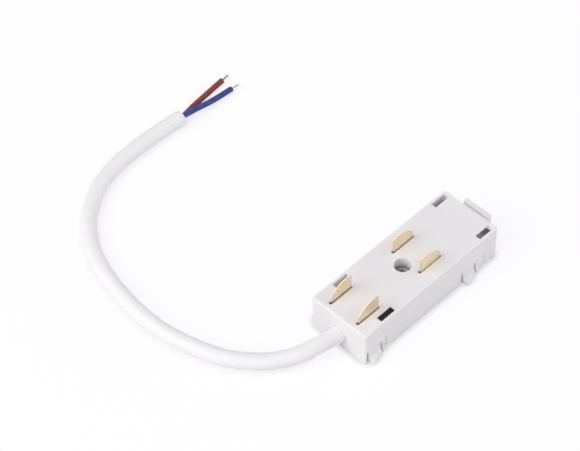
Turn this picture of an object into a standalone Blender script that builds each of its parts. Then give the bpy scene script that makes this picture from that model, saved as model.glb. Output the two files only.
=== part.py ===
"""Magnetic track power feed: a moulded housing with four sprung contact blades, magnets and a supply cable.

The housing lies on its cover with the contact face up. X runs from the cable end to the end tongue, Y
across, Z up, and the origin is under the middle of the housing with its tongue.
"""
import math

import bmesh
import bpy
from mathutils import Matrix, Vector

MM = 0.001

# Clearances
GAP = 0.3 * MM                    # between pieces that rest on or pass through each other
SLOT_CLEARANCE = 0.2 * MM         # round each blade in its slot
SLOT_PLAY = 0.45 * MM             # past a blade at the cable side of its slot
HOLE_CLEARANCE = 0.2 * MM         # round the cable where it leaves the housing
OVERRUN = 1.0 * MM                # how far a cutter passes the face that it opens

# Housing
HOUSING_LENGTH = 58.8 * MM
HOUSING_WIDTH = 22.0 * MM
HOUSING_HEIGHT = 13.1 * MM
CORNER_RADIUS = 0.7 * MM
TOP_EDGE_RADIUS = 0.5 * MM
SIDE_WALL = 1.5 * MM
TOP_WALL = 1.6 * MM
RIM_WALL = 0.9 * MM               # thinner wall that stands round the cover

# End tongue
TONGUE_LENGTH = 4.0 * MM
TONGUE_WIDTH = 10.3 * MM
TONGUE_DROP = 2.2 * MM            # its lip lies this far below the contact face
TONGUE_THICKNESS = 4.2 * MM
LIP_LENGTH = 1.9 * MM
LIP_RISE = 0.8 * MM
LIP_OVERHANG = 0.6 * MM
LIP_EDGE = 0.4 * MM

# Contact blades
BLADE_THICKNESS = 0.6 * MM
BLADE_LENGTH = 8.75 * MM
BLADE_RISE = 5.7 * MM             # height above the contact face
BLADE_CORNER_RADIUS = 0.8 * MM    # at the top of the upright edge
BLADE_POWER = 2.4                 # exponent of the superellipse that the blade's back follows
BLADE_SPACING = 11.1 * MM         # between the two rows
BLADE_TRAVEL = 2.2 * MM           # down against the spring
FRONT_BLADE_INSET = 2.4 * MM      # from the cable end to the front blades' tips
REAR_BLADE_INSET = 29.55 * MM     # from the cable end to the rear blades' upright edges
FOOT_LENGTH = 5.6 * MM
FOOT_WIDTH = 3.0 * MM
PIP_DIAMETER = 1.4 * MM
PIP_HEIGHT = 0.9 * MM
GUIDE_THICKNESS = 0.8 * MM
GUIDE_INSET = 0.9 * MM            # from the blade's cable side edge to the guide wall
GUIDE_OVERLAP = 0.3 * MM          # of the guide wall past the foot of a blade pressed right down

# Contact springs
SPRING_DIAMETER = 2.6 * MM
SPRING_WIRE = 0.3 * MM
SPRING_TURNS = 7
CLOSED_TURNS = 0.75               # at each end
CLOSED_PITCH = 1.15 * SPRING_WIRE

# Magnets and their pockets
POCKET_LENGTH = 5.9 * MM
POCKET_WIDTH = 1.9 * MM
POCKET_INSET = 0.95 * MM          # from the side to the pocket
FRONT_POCKET_INSET = 7.8 * MM     # from the cable end
REAR_POCKET_INSET = 1.3 * MM      # from the far end
POCKET_WALL = 0.8 * MM
MAGNET_HEIGHT = 3.0 * MM
MAGNET_CLEARANCE = 0.1 * MM       # glue round a magnet
MAGNET_EDGE = 0.15 * MM
MAGNET_DROPS = {                  # from the contact face down to each magnet
    "front_right": 0.05 * MM,
    "rear_right": 0.3 * MM,
    "front_left": 3.2 * MM,
    "rear_left": 3.2 * MM,
}
SHORT_MAGNET = 4.8 * MM           # the rear right magnet
LEDGE_DROP = 0.8 * MM             # from the contact face to the ledge past the short magnet

# Cover and its screw
COVER_THICKNESS = 1.5 * MM
SCREW_INSET = 27.8 * MM           # from the cable end
SCREW_HEAD_DIAMETER = 4.8 * MM
SCREW_HEAD_HEIGHT = 1.8 * MM
SCREW_SHANK_DIAMETER = 2.6 * MM
SCREW_LENGTH = 6.4 * MM
SCREW_SINK = 2.9 * MM             # from the contact face down to the top of the head
RECESS_DEPTH = 1.1 * MM
RECESS_LENGTH = 2.7 * MM
RECESS_WIDTH = 0.6 * MM
RECESS_FLOOR = 0.45               # length of the recess at its floor, as a share of its length above
RECESS_TURN = 20                  # degrees from X
TOWER_WALL = 0.9 * MM
TOWER_FLOOR = 1.5 * MM
BOSS_WALL = 1.0 * MM

# Snap arms in the side walls
ARM_WIDTH = 5.1 * MM
ARM_HEIGHT = 4.7 * MM
ARM_SLOT = 0.7 * MM
FRONT_ARM_INSET = 1.5 * MM        # from the cable end
REAR_ARM_INSET = 10.3 * MM        # from the far end
ARM_ROOM = 1.2 * MM               # room that the cover leaves behind an arm
HOOK_REACH = 2.2 * MM
HOOK_TOP = 2.4 * MM
HOOK_TAIL = 1.7 * MM              # how far the bump runs on past the arm's far slot
HOOK_LEAD = 0.5 * MM              # length over which it rises from the arm's near slot
VENT_INSET = 1.3 * MM             # from a pocket's edge to the slit under it
VENT_WIDTH = 0.35 * MM
VENT_BOTTOM = 1.6 * MM
VENT_TOP = 5.4 * MM
VENT_DEPTH = 0.6 * MM
NOTCH_LENGTH = 3.4 * MM
NOTCH_HEIGHT = 1.0 * MM

# Bus strips
STRIP_THICKNESS = 0.4 * MM
STRIP_OVERHANG = 1.4 * MM         # past the middle of each spring
POST_HEIGHT = 2.6 * MM

# Supply cable
CABLE_DIAMETER = 5.3 * MM
CABLE_LEVEL = 5.4 * MM            # height of its middle where it leaves the housing
SHEATH_INSIDE = 17.5 * MM
CORE_DIAMETER = 1.9 * MM
CONDUCTOR_DIAMETER = 0.6 * MM
CONDUCTOR_LENGTH = 2.8 * MM
CORE_SPREAD = 2.2 * MM            # between the middles of the two cores
TABLE_CLEARANCE = 0.05 * MM
SOLDER_OFFSET = 4.4 * MM          # from the screw back to the leads' solder points
CLIP_INSET = 12.6 * MM            # from the cable end to the strain relief
CLIP_LENGTH = 3.8 * MM
CLIP_WALL = 1.0 * MM

# Route of the cable outside the housing: X and Y in millimetres from the hole, and the share of its
# height at the hole that it still has
CABLE_ROUTE = [
    (-3.0, 0.4, 0.95), (-6.1, 1.3, 0.83), (-10.9, 2.8, 0.58), (-15.1, 4.9, 0.32), (-19.0, 7.8, 0.11),
    (-22.7, 11.3, 0.02), (-28.3, 18.9, 0.0), (-31.9, 28.1, 0.0), (-34.2, 37.9, 0.0), (-34.8, 48.7, 0.0),
    (-33.6, 59.6, 0.0), (-30.9, 70.8, 0.0), (-26.8, 80.0, 0.0), (-21.4, 87.2, 0.0), (-15.3, 92.3, 0.0),
    (-9.6, 95.6, 0.0), (-3.8, 97.7, 0.0), (2.7, 98.9, 0.0), (10.6, 99.3, 0.0), (19.7, 99.2, 0.0),
    (29.6, 98.5, 0.0),
]

# Routes of the two cores past the end of the sheath: millimetres from the middle of its cut end, Z from
# the table
CORE_ROUTES = {
    "blue": [(0.3, -0.5, 3.6), (5.6, -0.7, 2.75), (12.6, -1.0, 1.45), (21.0, -1.5, 1.05)],
    "brown": [(0.3, 0.5, 1.65), (5.9, 1.7, 1.25), (13.1, 2.6, 1.05), (21.5, 3.4, 1.05)],
}

# Route of a core inside the housing, from the sheath's end to its solder point, as shares of the way
# along, outwards and down
LEAD_ROUTE = [(0, 0, 0), (0.29, 0.14, 0.15), (0.68, 0.87, 0.8), (1, 1, 1)]

# Values that follow from the sizes above
BACK = -(HOUSING_LENGTH + TONGUE_LENGTH) / 2
FRONT = BACK + HOUSING_LENGTH
HALF_WIDTH = HOUSING_WIDTH / 2
CEILING = HOUSING_HEIGHT - TOP_WALL
SEAT = COVER_THICKNESS + GAP
FOOT_TOP = CEILING - GAP
FOOT_BOTTOM = FOOT_TOP - BLADE_THICKNESS
GUIDE_BOTTOM = FOOT_BOTTOM - BLADE_TRAVEL - GUIDE_OVERLAP
BLADE_ROW = BLADE_SPACING / 2
SPRING_ROW = BLADE_ROW + BLADE_THICKNESS / 2 - FOOT_WIDTH / 2
STRIP_BOTTOM = SEAT
STRIP_TOP = STRIP_BOTTOM + STRIP_THICKNESS
SPRING_BOTTOM = STRIP_TOP + GAP
SPRING_TOP = FOOT_BOTTOM - GAP
CABLE_RADIUS = CABLE_DIAMETER / 2
SCREW_X = BACK + SCREW_INSET
HEAD_TOP = HOUSING_HEIGHT - SCREW_SINK
HEAD_BOTTOM = HEAD_TOP - SCREW_HEAD_HEIGHT
TOWER_BOTTOM = HEAD_BOTTOM - GAP - TOWER_FLOOR
SHEATH_END = BACK + SHEATH_INSIDE
LEAD_SOLDER = SCREW_X - SOLDER_OFFSET
SIDES = {"right": -1, "left": 1}
BLADE_TIPS = {"front": BACK + FRONT_BLADE_INSET, "rear": BACK + REAR_BLADE_INSET}
POCKETS = {"front": BACK + FRONT_POCKET_INSET, "rear": FRONT - REAR_POCKET_INSET - POCKET_LENGTH}
ARMS = {"front": BACK + FRONT_ARM_INSET, "rear": FRONT - REAR_ARM_INSET - ARM_WIDTH}


def srgb(hex_colour):
    """A linear colour from a #RRGGBB string."""
    values = [int(hex_colour[i:i + 2], 16) / 255 for i in (1, 3, 5)]
    return [v / 12.92 if v <= 0.04045 else ((v + 0.055) / 1.055) ** 2.4 for v in values] + [1.0]


def make_material(name, colour, roughness, metallic=0.0):
    material = bpy.data.materials.new(name)
    material.use_nodes = True
    shader = material.node_tree.nodes["Principled BSDF"]
    shader.inputs["Base Color"].default_value = srgb(colour)
    shader.inputs["Roughness"].default_value = roughness
    shader.inputs["Metallic"].default_value = metallic
    material.diffuse_color = srgb(colour)
    return material


def add_object(name, data, material=None):
    thing = bpy.data.objects.new(name, data)
    bpy.context.scene.collection.objects.link(thing)
    if material:
        data.materials.append(material)
    return thing


def mesh_from(name, shape):
    """A mesh datablock from a bmesh, with its faces turned outwards."""
    bmesh.ops.recalc_face_normals(shape, faces=shape.faces)
    mesh = bpy.data.meshes.new(name)
    shape.to_mesh(mesh)
    shape.free()
    return mesh


def shade_round(thing, angle=35):
    """Smooth shading that keeps edges sharper than the angle."""
    thing.data.shade_smooth()
    thing.data.set_sharp_from_angle(angle=math.radians(angle))
    return thing


def prism_shape(outline, start, end, axis="Z"):
    """A closed prism over an outline: (x, y) along Z, (x, z) along Y or (y, z) along X."""
    place = {
        "Z": lambda u, v, w: (u, v, w),
        "Y": lambda u, v, w: (u, w, v),
        "X": lambda u, v, w: (w, u, v),
    }[axis]
    shape = bmesh.new()
    base = shape.faces.new([shape.verts.new(place(u, v, start)) for u, v in outline])
    top = bmesh.ops.extrude_face_region(shape, geom=[base])
    moved = [item for item in top["geom"] if isinstance(item, bmesh.types.BMVert)]
    bmesh.ops.translate(shape, verts=moved, vec=Vector(place(0, 0, end)) - Vector(place(0, 0, start)))
    return shape


def prism(name, outline, start, end, axis="Z", material=None):
    return add_object(name, mesh_from(name, prism_shape(outline, start, end, axis)), material)


def box(name, low, high, material=None):
    """A box between two corners."""
    outline = [(low[0], low[1]), (high[0], low[1]), (high[0], high[1]), (low[0], high[1])]
    return prism(name, outline, low[2], high[2], "Z", material)


def cylinder(name, radius, start, end, segments=32, material=None):
    """A cylinder or, with a pair of radii, a cone between two points."""
    first, last = radius if isinstance(radius, tuple) else (radius, radius)
    start, end = Vector(start), Vector(end)
    shape = bmesh.new()
    bmesh.ops.create_cone(
        shape, cap_ends=True, segments=segments, radius1=first, radius2=last, depth=(end - start).length)
    turn = (end - start).to_track_quat("Z", "Y").to_matrix().to_4x4()
    bmesh.ops.transform(shape, matrix=Matrix.Translation((start + end) / 2) @ turn, verts=shape.verts)
    return add_object(name, mesh_from(name, shape), material)


def rounded_rectangle(x0, x1, y0, y1, radius, segments=4):
    """The outline of a rectangle with round corners, counter-clockwise."""
    centres = [(x1 - radius, y0 + radius, -90), (x1 - radius, y1 - radius, 0),
               (x0 + radius, y1 - radius, 90), (x0 + radius, y0 + radius, 180)]
    outline = []
    for x, y, first in centres:
        for step in range(segments + 1):
            angle = math.radians(first + 90 * step / segments)
            outline.append((x + radius * math.cos(angle), y + radius * math.sin(angle)))
    return outline


def combine(thing, other, operation):
    """Adds a live Boolean, and leaves the other shape as a hidden guide."""
    other.hide_render = True
    other.display_type = "WIRE"
    modifier = thing.modifiers.new(other.name, "BOOLEAN")
    modifier.operation = operation
    modifier.solver = "EXACT"
    modifier.object = other
    return thing


def join(thing, *others):
    for other in others:
        combine(thing, other, "UNION")


def cut(thing, *others):
    for other in others:
        combine(thing, other, "DIFFERENCE")


def bevel(thing, width, segments=2, angle=40):
    modifier = thing.modifiers.new("edges", "BEVEL")
    modifier.width = width
    modifier.segments = segments
    modifier.limit_method = "ANGLE"
    modifier.angle_limit = math.radians(angle)
    return thing


def smooth_route(points, spacing):
    """Evenly spaced points along a centripetal Catmull-Rom curve through the given ones."""
    points = [Vector(p) for p in points]
    ends = [2 * points[0] - points[1]] + points + [2 * points[-1] - points[-2]]
    fine = []
    for a, b, c, d in zip(ends, ends[1:], ends[2:], ends[3:]):
        t1 = (b - a).length ** 0.5
        t2 = t1 + (c - b).length ** 0.5
        t3 = t2 + (d - c).length ** 0.5
        for step in range(20):
            t = t1 + (t2 - t1) * step / 20
            ab = a + (b - a) * (t / t1)
            bc = b + (c - b) * ((t - t1) / (t2 - t1))
            cd = c + (d - c) * ((t - t2) / (t3 - t2))
            abc = ab + (bc - ab) * (t / t2)
            bcd = bc + (cd - bc) * ((t - t1) / (t3 - t1))
            fine.append(abc + (bcd - abc) * ((t - t1) / (t2 - t1)))
    fine.append(points[-1])
    lengths = [0.0]
    for a, b in zip(fine, fine[1:]):
        lengths.append(lengths[-1] + (b - a).length)
    count = max(2, round(lengths[-1] / spacing))
    route = []
    index = 0
    for step in range(count + 1):
        along = lengths[-1] * step / count
        while index < len(fine) - 2 and lengths[index + 1] < along:
            index += 1
        part = (along - lengths[index]) / (lengths[index + 1] - lengths[index])
        route.append(fine[index].lerp(fine[index + 1], min(max(part, 0), 1)))
    return route


def tube(name, points, diameter, material, resolution=2):
    """A round tube along points, closed at both ends."""
    curve = bpy.data.curves.new(name, "CURVE")
    curve.dimensions = "3D"
    curve.bevel_depth = diameter / 2
    curve.bevel_resolution = resolution
    curve.use_fill_caps = True
    spline = curve.splines.new("POLY")
    spline.points.add(len(points) - 1)
    for target, point in zip(spline.points, points):
        target.co = (*point, 1.0)
    spline.use_smooth = True
    return add_object(name, curve, material)


def blade_outline(place):
    """The blade from the side: an upright edge, a rounded corner, and a back that curves down to the tip."""
    tip = BLADE_TIPS[place]
    facing = 1 if place == "front" else -1
    upright = tip + BLADE_LENGTH if place == "front" else tip
    outline = [(upright, FOOT_BOTTOM)]
    corner_steps = 4
    for step in range(corner_steps):
        angle = math.pi / 2 * step / corner_steps
        along = BLADE_CORNER_RADIUS * (1 - math.cos(angle))
        drop = BLADE_CORNER_RADIUS * (1 - math.sin(angle))
        outline.append((upright - facing * along, HOUSING_HEIGHT + BLADE_RISE - drop))
    steps = 14
    for step in range(steps + 1):
        angle = math.pi / 2 * step / steps
        reach = (BLADE_LENGTH - BLADE_CORNER_RADIUS) * math.sin(angle) ** (2 / BLADE_POWER)
        along = BLADE_CORNER_RADIUS + reach
        rise = BLADE_RISE * max(math.cos(angle), 0) ** (2 / BLADE_POWER)
        outline.append((upright - facing * along, HOUSING_HEIGHT + rise))
    outline.append((upright - facing * BLADE_LENGTH, FOOT_BOTTOM))
    return outline


def blade_middle(place):
    """X of the middle of a blade, over its spring."""
    return BLADE_TIPS[place] + BLADE_LENGTH / 2


def hook_shape(start, side):
    """The outward bump at the foot of a snap arm: steep at one end, with a long tail to the other."""
    levels = [(HOOK_TOP, 0.1), (HOOK_TOP * 0.75, 0.45), (HOOK_TOP * 0.5, 0.78), (HOOK_TOP * 0.28, 1.0),
              (HOOK_TOP * 0.12, 0.96), (HOOK_TOP * 0.03, 0.84)]
    length = ARM_WIDTH + ARM_SLOT + HOOK_TAIL
    lead = HOOK_LEAD / length
    shares = [lead * step / 4 for step in range(5)] + [lead + (1 - lead) * step / 8 for step in range(1, 9)]
    shape = bmesh.new()
    rings = []
    for height, share in levels:
        ring = []
        for along in shares:
            plan = min(1, along / lead) ** 0.5 * (1 - along) ** 0.8
            ring.append(shape.verts.new(
                (start + along * length, side * (HALF_WIDTH + HOOK_REACH * share * plan), height)))
        for x in (start + length, start):
            ring.append(shape.verts.new((x, side * (HALF_WIDTH - RIM_WALL / 2), height)))
        rings.append(ring)
    for upper, lower in zip(rings, rings[1:]):
        for i, _ in enumerate(upper):
            k = (i + 1) % len(upper)
            shape.faces.new((upper[i], upper[k], lower[k], lower[i]))
    shape.faces.new(rings[0])
    shape.faces.new(rings[-1])
    return shape


def build_housing(white):
    """The moulded body: a shell with tongue, snap arms, pockets, blade slots and screw tower."""
    shape = prism_shape(
        rounded_rectangle(BACK, FRONT, -HALF_WIDTH, HALF_WIDTH, CORNER_RADIUS), 0, HOUSING_HEIGHT)
    top_edges = [e for e in shape.edges if all(v.co.z > HOUSING_HEIGHT - GAP for v in e.verts)]
    bmesh.ops.bevel(
        shape, geom=top_edges, offset=TOP_EDGE_RADIUS, segments=3, profile=0.5, affect="EDGES")
    shell = add_object("housing_shell", mesh_from("housing_shell", shape), white)

    # Tongue with a raised lip at its end
    lip_top = HOUSING_HEIGHT - TONGUE_DROP
    tongue_bottom = lip_top - TONGUE_THICKNESS
    neck_half = TONGUE_WIDTH / 2 - LIP_OVERHANG
    end = FRONT + TONGUE_LENGTH
    join(shell, box("form_neck", (FRONT - SIDE_WALL / 2, -neck_half, tongue_bottom),
                    (end - LIP_LENGTH / 2, neck_half, lip_top - LIP_RISE)))
    lip = box("form_lip", (end - LIP_LENGTH, -TONGUE_WIDTH / 2, tongue_bottom),
              (end, TONGUE_WIDTH / 2, lip_top))
    join(shell, bevel(lip, min(LIP_EDGE, LIP_LENGTH / 4)))

    # Cavity, with a wider seat for the cover at its foot
    cut(shell, prism("cut_cavity", rounded_rectangle(
        BACK + SIDE_WALL, FRONT - SIDE_WALL, -HALF_WIDTH + SIDE_WALL, HALF_WIDTH - SIDE_WALL,
        CORNER_RADIUS / 2), -OVERRUN, CEILING))
    cut(shell, prism("cut_cover_seat", rounded_rectangle(
        BACK + RIM_WALL, FRONT - RIM_WALL, -HALF_WIDTH + RIM_WALL, HALF_WIDTH - RIM_WALL,
        CORNER_RADIUS / 2), -OVERRUN, SEAT))

    # Tower that the screw sits in
    bore = SCREW_HEAD_DIAMETER / 2 + GAP
    join(shell, cylinder("form_tower", bore + TOWER_WALL, (SCREW_X, 0, TOWER_BOTTOM),
                         (SCREW_X, 0, CEILING + TOP_WALL / 2)))
    cut(shell, cylinder("cut_counterbore", bore, (SCREW_X, 0, HEAD_BOTTOM - GAP),
                        (SCREW_X, 0, HOUSING_HEIGHT + OVERRUN)))
    cut(shell, cylinder("cut_shank_hole", SCREW_SHANK_DIAMETER / 2 + GAP,
                        (SCREW_X, 0, TOWER_BOTTOM - OVERRUN), (SCREW_X, 0, HEAD_BOTTOM), 24))

    # Rib that holds the strain relief down
    clip_top = CABLE_LEVEL + CABLE_RADIUS + GAP + CLIP_WALL
    middle = BACK + CLIP_INSET + CLIP_LENGTH / 2
    join(shell, box("form_clip_rib", (middle - CLIP_LENGTH / 4, -CABLE_RADIUS, clip_top + GAP),
                    (middle + CLIP_LENGTH / 4, CABLE_RADIUS, CEILING + TOP_WALL / 2)))

    for side_name, side in SIDES.items():
        for place in ("front", "rear"):
            label = f"{place}_{side_name}"
            add_pocket(shell, label, POCKETS[place], side)
            add_blade_slot(shell, label, place, side)
            add_snap_arm(shell, label, ARMS[place], side)

    # Hole that the cable passes through
    cut(shell, cylinder("cut_cable_hole", CABLE_RADIUS + HOLE_CLEARANCE, (BACK - OVERRUN, 0, CABLE_LEVEL),
                        (BACK + SIDE_WALL + OVERRUN, 0, CABLE_LEVEL), 24))
    return shade_round(shell)


def magnet_length(label):
    return SHORT_MAGNET if label == "rear_right" else POCKET_LENGTH - 2 * MAGNET_CLEARANCE


def add_pocket(shell, label, start, side):
    """A blind pocket beside the side wall, with a ledge past a magnet that is shorter than it."""
    depth = MAGNET_DROPS[label] + MAGNET_HEIGHT + GAP
    inner = HALF_WIDTH - POCKET_INSET - POCKET_WIDTH
    y_low, y_high = sorted((side * (inner - POCKET_WALL), side * (HALF_WIDTH - SIDE_WALL / 2)))
    join(shell, box(f"form_pocket_{label}",
                    (start - POCKET_WALL, y_low, HOUSING_HEIGHT - depth - POCKET_WALL),
                    (min(start + POCKET_LENGTH + POCKET_WALL, FRONT - SIDE_WALL / 2), y_high,
                     CEILING + TOP_WALL / 2)))
    y_low, y_high = sorted((side * inner, side * (HALF_WIDTH - POCKET_INSET)))
    end = start + POCKET_LENGTH
    deep_end = start + magnet_length(label) + 2 * MAGNET_CLEARANCE
    cut(shell, box(f"cut_pocket_{label}", (start, y_low, HOUSING_HEIGHT - depth),
                   (deep_end, y_high, HOUSING_HEIGHT + OVERRUN)))
    if end - deep_end > MAGNET_CLEARANCE:
        ledge = HOUSING_HEIGHT - LEDGE_DROP
        cut(shell, box(f"cut_ledge_{label}", (deep_end - MAGNET_CLEARANCE, y_low, ledge),
                       (end, y_high, HOUSING_HEIGHT + OVERRUN)))

    # Vent slit and notch low in the wall under the pocket
    y_low, y_high = sorted((side * (HALF_WIDTH - VENT_DEPTH), side * (HALF_WIDTH + OVERRUN)))
    slit = start + VENT_INSET
    cut(shell, box(f"cut_vent_{label}", (slit, y_low, VENT_BOTTOM), (slit + VENT_WIDTH, y_high, VENT_TOP)))
    cut(shell, box(f"cut_notch_{label}", (slit + VENT_WIDTH, y_low, -OVERRUN),
                   (slit + VENT_WIDTH + NOTCH_LENGTH, y_high, NOTCH_HEIGHT)))


def add_blade_slot(shell, label, place, side):
    """The slot that a blade rises through, and the guide wall that hangs beside it."""
    tip = BLADE_TIPS[place]
    outer = BLADE_ROW + BLADE_THICKNESS / 2 + SLOT_CLEARANCE
    inner = BLADE_ROW - BLADE_THICKNESS / 2 - SLOT_CLEARANCE
    y_low, y_high = sorted((side * outer, side * (outer + GUIDE_THICKNESS)))
    join(shell, box(f"form_guide_{label}", (tip + GUIDE_INSET, y_low, GUIDE_BOTTOM),
                    (tip + BLADE_LENGTH, y_high, CEILING + TOP_WALL / 2)))
    y_low, y_high = sorted((side * inner, side * outer))
    cut(shell, box(f"cut_slot_{label}", (tip - SLOT_PLAY, y_low, CEILING - OVERRUN),
                   (tip + BLADE_LENGTH + SLOT_CLEARANCE, y_high, HOUSING_HEIGHT + OVERRUN)))


def add_snap_arm(shell, label, start, side):
    """An arm freed from the side wall by two slots, with a bump at its foot."""
    bump = hook_shape(start, side)
    join(shell, shade_round(add_object(f"form_hook_{label}", mesh_from(f"form_hook_{label}", bump))))
    y_low, y_high = sorted((side * (HALF_WIDTH - SIDE_WALL - GAP), side * (HALF_WIDTH + OVERRUN)))
    for number, x in enumerate((start - ARM_SLOT, start + ARM_WIDTH)):
        cut(shell, box(f"cut_arm_{label}_{number}", (x, y_low, -OVERRUN),
                       (x + ARM_SLOT, y_high, ARM_HEIGHT)))


def build_cover(white):
    """The cover plate, with the screw boss, spring posts, cable cradle and room behind the arms."""
    edge = RIM_WALL + GAP
    cover = prism("base_cover", rounded_rectangle(
        BACK + edge, FRONT - edge, -HALF_WIDTH + edge, HALF_WIDTH - edge, CORNER_RADIUS / 3),
        0, COVER_THICKNESS, "Z", white)
    hole = SCREW_SHANK_DIAMETER / 2 + GAP
    join(cover, cylinder("form_boss", hole + BOSS_WALL, (SCREW_X, 0, COVER_THICKNESS / 2),
                         (SCREW_X, 0, TOWER_BOTTOM - GAP)))
    cut(cover, cylinder("cut_boss", hole, (SCREW_X, 0, HEAD_BOTTOM - SCREW_LENGTH - GAP),
                        (SCREW_X, 0, TOWER_BOTTOM + OVERRUN), 24))
    for side_name, side in SIDES.items():
        for place in ("front", "rear"):
            x = blade_middle(place)
            y = side * SPRING_ROW
            join(cover, cylinder(
                f"form_post_{place}_{side_name}", PIP_DIAMETER / 2, (x, y, COVER_THICKNESS / 2),
                (x, y, COVER_THICKNESS + POST_HEIGHT), 16))
            start = ARMS[place]
            y_low, y_high = sorted((side * (HALF_WIDTH - edge - ARM_ROOM), side * HALF_WIDTH))
            cut(cover, box(f"cut_arm_room_{place}_{side_name}", (start - ARM_SLOT, y_low, -OVERRUN),
                           (start + ARM_WIDTH + ARM_SLOT, y_high, COVER_THICKNESS + OVERRUN)))

    # Cradle under the cable
    start = BACK + CLIP_INSET
    cradle_half = CABLE_RADIUS
    join(cover, box("form_cradle", (start, -cradle_half, COVER_THICKNESS / 2),
                    (start + CLIP_LENGTH, cradle_half, CABLE_LEVEL - CABLE_RADIUS / 2)))
    cut(cover, cylinder("cut_cradle", CABLE_RADIUS + GAP, (start - OVERRUN, 0, CABLE_LEVEL),
                        (start + CLIP_LENGTH + OVERRUN, 0, CABLE_LEVEL), 24))
    return shade_round(cover)


def build_strain_relief(white):
    """The clip that straddles the cable and presses it into the cradle."""
    start = BACK + CLIP_INSET
    inner = CABLE_RADIUS + GAP
    outer = inner + CLIP_WALL
    outline = [(-outer, SPRING_BOTTOM)]
    for step in range(17):
        angle = math.pi * (1 - step / 16)
        outline.append((outer * math.cos(angle), CABLE_LEVEL + outer * math.sin(angle)))
    outline.append((outer, SPRING_BOTTOM))
    outline.append((inner, SPRING_BOTTOM))
    for step in range(17):
        angle = math.pi * step / 16
        outline.append((inner * math.cos(angle), CABLE_LEVEL + inner * math.sin(angle)))
    outline.append((-inner, SPRING_BOTTOM))
    clip = prism("strain_relief_clip", outline, start, start + CLIP_LENGTH, "X", white)
    return shade_round(clip)


def build_screw(steel):
    """A pan head screw with a cross recess: a turned profile, cut by the recess."""
    radius = SCREW_HEAD_DIAMETER / 2
    shank = SCREW_SHANK_DIAMETER / 2
    point = HEAD_BOTTOM - SCREW_LENGTH
    dome = [(0, 0), (0.45, 0.04), (0.75, 0.16), (0.93, 0.36), (1, 0.6)]
    profile = [(radius * out, HEAD_TOP - SCREW_HEAD_HEIGHT * down) for out, down in dome]
    profile += [(radius, HEAD_BOTTOM), (shank, HEAD_BOTTOM), (shank, point + shank), (shank * 0.4, point),
                (0, point)]
    shape = bmesh.new()
    line = [shape.verts.new((x, 0, z)) for x, z in profile]
    edges = [shape.edges.new(pair) for pair in zip(line, line[1:])]
    bmesh.ops.spin(shape, geom=line + edges, axis=(0, 0, 1), cent=(0, 0, 0), angle=math.tau, steps=28,
                   use_merge=True)
    bmesh.ops.remove_doubles(shape, verts=shape.verts, dist=1e-6)
    bmesh.ops.translate(shape, verts=shape.verts, vec=(SCREW_X, 0, 0))
    screw = add_object("cover_screw", mesh_from("cover_screw", shape), steel)
    for number in range(2):
        half = RECESS_LENGTH / 2
        bottom = HEAD_TOP - RECESS_DEPTH
        tapered = [(-half, HEAD_TOP + OVERRUN), (-half, HEAD_TOP), (-half * RECESS_FLOOR, bottom),
                   (half * RECESS_FLOOR, bottom),
                   (half, HEAD_TOP), (half, HEAD_TOP + OVERRUN)]
        wing = prism_shape(tapered, -RECESS_WIDTH / 2, RECESS_WIDTH / 2, "Y")
        turn = Matrix.Translation((SCREW_X, 0, 0)) @ Matrix.Rotation(
            math.radians(RECESS_TURN + 90 * number), 4, "Z")
        bmesh.ops.transform(wing, matrix=turn, verts=wing.verts)
        cut(screw, add_object(f"cut_recess_{number}", mesh_from(f"cut_recess_{number}", wing)))
    return shade_round(screw)


def build_blade(place, side_name, brass):
    """A stamped blade with a foot folded inwards over its spring."""
    side = SIDES[side_name]
    label = f"{place}_{side_name}"
    half = BLADE_THICKNESS / 2
    y_low, y_high = sorted((side * (BLADE_ROW - half), side * (BLADE_ROW + half)))
    blade = prism(f"contact_blade_{label}", blade_outline(place), y_low, y_high, "Y", brass)
    x = blade_middle(place)
    y_low, y_high = sorted((side * (SPRING_ROW - FOOT_WIDTH / 2), side * (SPRING_ROW + FOOT_WIDTH / 2)))
    join(blade, box(f"form_foot_{label}", (x - FOOT_LENGTH / 2, y_low, FOOT_BOTTOM),
                    (x + FOOT_LENGTH / 2, y_high, FOOT_TOP)))
    y = side * SPRING_ROW
    join(blade, cylinder(f"form_pip_{label}", PIP_DIAMETER / 2, (x, y, FOOT_BOTTOM - PIP_HEIGHT),
                         (x, y, FOOT_BOTTOM + half), 16))
    return shade_round(blade)


def build_spring(place, side_name, steel):
    """A coil spring with closed ends, between the strip and the blade's foot."""
    radius = (SPRING_DIAMETER - SPRING_WIRE) / 2
    low = SPRING_BOTTOM + SPRING_WIRE / 2
    high = SPRING_TOP - SPRING_WIRE / 2
    per_turn = 12
    count = SPRING_TURNS * per_turn
    points = []
    for step in range(count + 1):
        turns = step / per_turn
        share = (turns - CLOSED_TURNS) / (SPRING_TURNS - 2 * CLOSED_TURNS)
        climb = min(max(share, 0), 1)
        closed = CLOSED_PITCH * (min(turns, CLOSED_TURNS) + max(turns - SPRING_TURNS + CLOSED_TURNS, 0))
        open_height = high - low - CLOSED_PITCH * 2 * CLOSED_TURNS
        angle = math.tau * turns
        points.append((blade_middle(place) + radius * math.cos(angle),
                       SIDES[side_name] * SPRING_ROW + radius * math.sin(angle),
                       low + closed + climb * open_height))
    return tube(f"contact_spring_{place}_{side_name}", points, SPRING_WIRE, steel, 1)


def build_magnet(place, side_name, black):
    """A block magnet glued in its pocket."""
    label = f"{place}_{side_name}"
    start = POCKETS[place]
    outer = HALF_WIDTH - POCKET_INSET - MAGNET_CLEARANCE
    y_low, y_high = sorted((SIDES[side_name] * (outer - POCKET_WIDTH + 2 * MAGNET_CLEARANCE),
                            SIDES[side_name] * outer))
    top = HOUSING_HEIGHT - MAGNET_DROPS[label]
    magnet = box(f"magnet_{label}", (start + MAGNET_CLEARANCE, y_low, top - MAGNET_HEIGHT),
                 (start + MAGNET_CLEARANCE + magnet_length(label), y_high, top), black)
    return bevel(magnet, MAGNET_EDGE, 1)


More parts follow.
